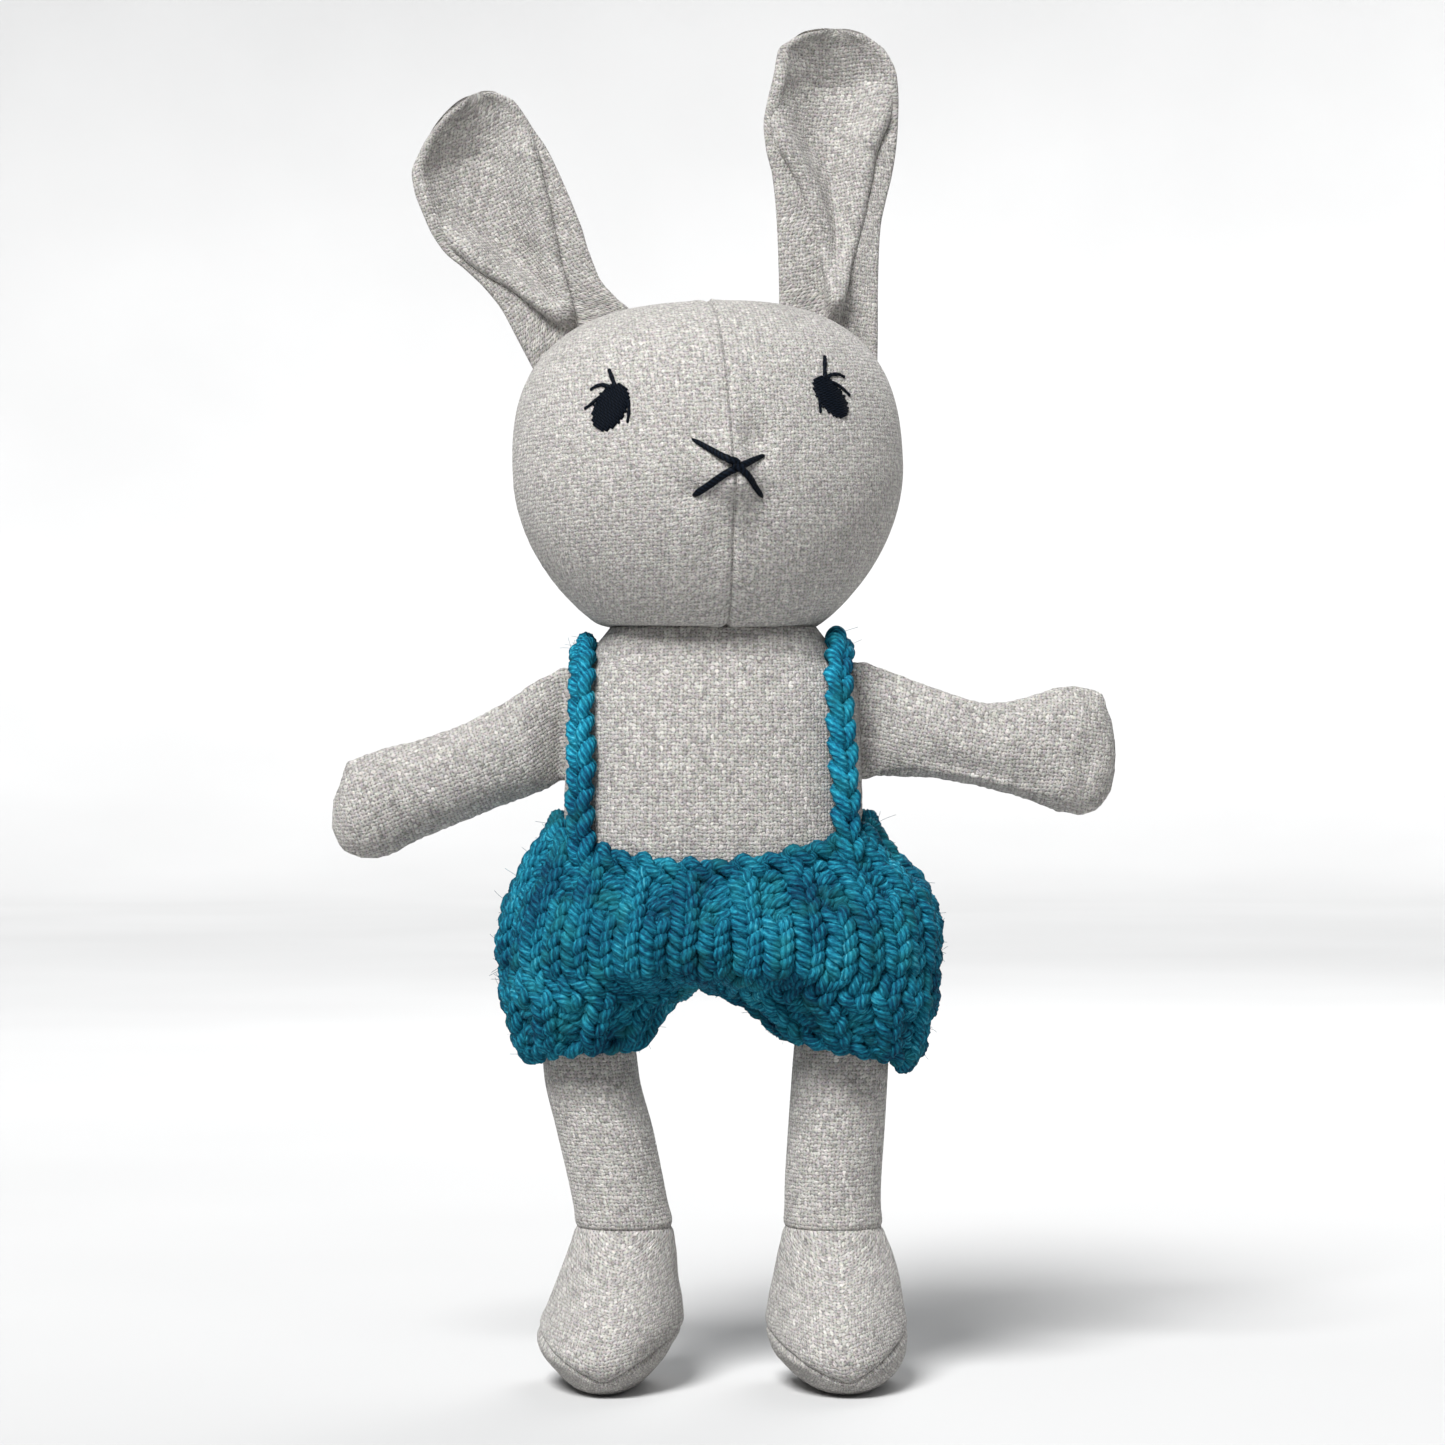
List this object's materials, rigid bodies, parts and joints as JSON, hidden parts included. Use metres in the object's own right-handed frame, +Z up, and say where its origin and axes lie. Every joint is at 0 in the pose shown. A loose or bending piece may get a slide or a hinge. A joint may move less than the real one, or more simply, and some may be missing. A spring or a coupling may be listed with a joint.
{
  "type": "stuffed bunny rabbit",
  "caption": "Standing stuffed rabbit of grey woven wool with long ears, embroidered face, soft-jointed limbs and blue knitted shorts with shoulder straps.",
  "frame": {"origin": "on the floor under the middle of the whole rabbit's box", "axes": "+Z up, the rabbit faces -Y, and +X is to the right as seen from the front"},
  "size_m": [0.2072, 0.086, 0.359],
  "materials": {
    "wool_cloth": "matte melange plain-woven wool",
    "ear_cloth": "matte felted wool",
    "wool_filling": "loose carded wool",
    "blue_knit": "plied yarn, soft sheen",
    "embroidery_thread": "satin-stitched thread",
    "sewing_thread": "matte thread"
  },
  "bodies": {
    "torso": {"torso_front_panel": "wool_cloth", "torso_back_panel": "wool_cloth", "torso_stuffing": "wool_filling", "neck_stitching": "sewing_thread", "strap_left": "blue_knit", "strap_right": "blue_knit", "shorts_waist": "blue_knit", "shorts_left_half": "blue_knit", "shorts_right_half": "blue_knit"},
    "head": {"face_panel_left": "wool_cloth", "face_panel_right": "wool_cloth", "head_back_panel": "wool_cloth", "head_stuffing": "wool_filling", "eye_left": "embroidery_thread", "eye_right": "embroidery_thread", "nose_stitch_over": "embroidery_thread", "nose_stitch_under": "embroidery_thread"},
    "ear_left": {"ear_left_front": "ear_cloth", "ear_left_back": "ear_cloth"},
    "ear_right": {"ear_right_front": "ear_cloth", "ear_right_back": "ear_cloth"},
    "arm_left": {"arm_left_front_panel": "wool_cloth", "arm_left_back_panel": "wool_cloth", "arm_left_stuffing": "wool_filling"},
    "arm_right": {"arm_right_front_panel": "wool_cloth", "arm_right_back_panel": "wool_cloth", "arm_right_stuffing": "wool_filling"},
    "leg_left": {"leg_left_tube": "wool_cloth", "foot_left_upper": "wool_cloth", "foot_left_sole": "wool_cloth", "leg_left_stuffing": "wool_filling"},
    "leg_right": {"leg_right_tube": "wool_cloth", "foot_right_upper": "wool_cloth", "foot_right_sole": "wool_cloth", "leg_right_stuffing": "wool_filling"}
  },
  "joints": [
    {"name": "head_turn", "type": "hinge", "parent": "torso", "child": "head", "pos_m": [-0.0024, 0.0024, 0.1975], "axis": [0, 0, 1], "range_deg": [-35, 35]},
    {"name": "ear_left_flop", "type": "hinge", "parent": "head", "child": "ear_left", "pos_m": [-0.0383, 0.0072, 0.2778], "axis": [0.8425, 0.1139, 0.5265], "range_deg": [-40, 50]},
    {"name": "ear_right_flop", "type": "hinge", "parent": "head", "child": "ear_right", "pos_m": [0.0275, 0.0158, 0.2785], "axis": [0.8779, 0.1127, -0.4655], "range_deg": [-40, 50]},
    {"name": "arm_left_swing", "type": "hinge", "parent": "torso", "child": "arm_left", "pos_m": [-0.0428, 0.0024, 0.1733], "axis": [0, 0, 1], "range_deg": [-30, 50]},
    {"name": "arm_right_swing", "type": "hinge", "parent": "torso", "child": "arm_right", "pos_m": [0.0376, 0.0024, 0.1742], "axis": [0, 0, -1], "range_deg": [-30, 50]},
    {"name": "hip_left_swing", "type": "hinge", "parent": "torso", "child": "leg_left", "pos_m": [-0.036, 0.0024, 0.1087], "axis": [-1, 0, 0], "range_deg": [-25, 90], "deforming": ["shorts_left_half"]},
    {"name": "hip_right_swing", "type": "hinge", "parent": "torso", "child": "leg_right", "pos_m": [0.0316, 0.0024, 0.1087], "axis": [-1, 0, 0], "range_deg": [-25, 90], "deforming": ["shorts_right_half"]}
  ]
}
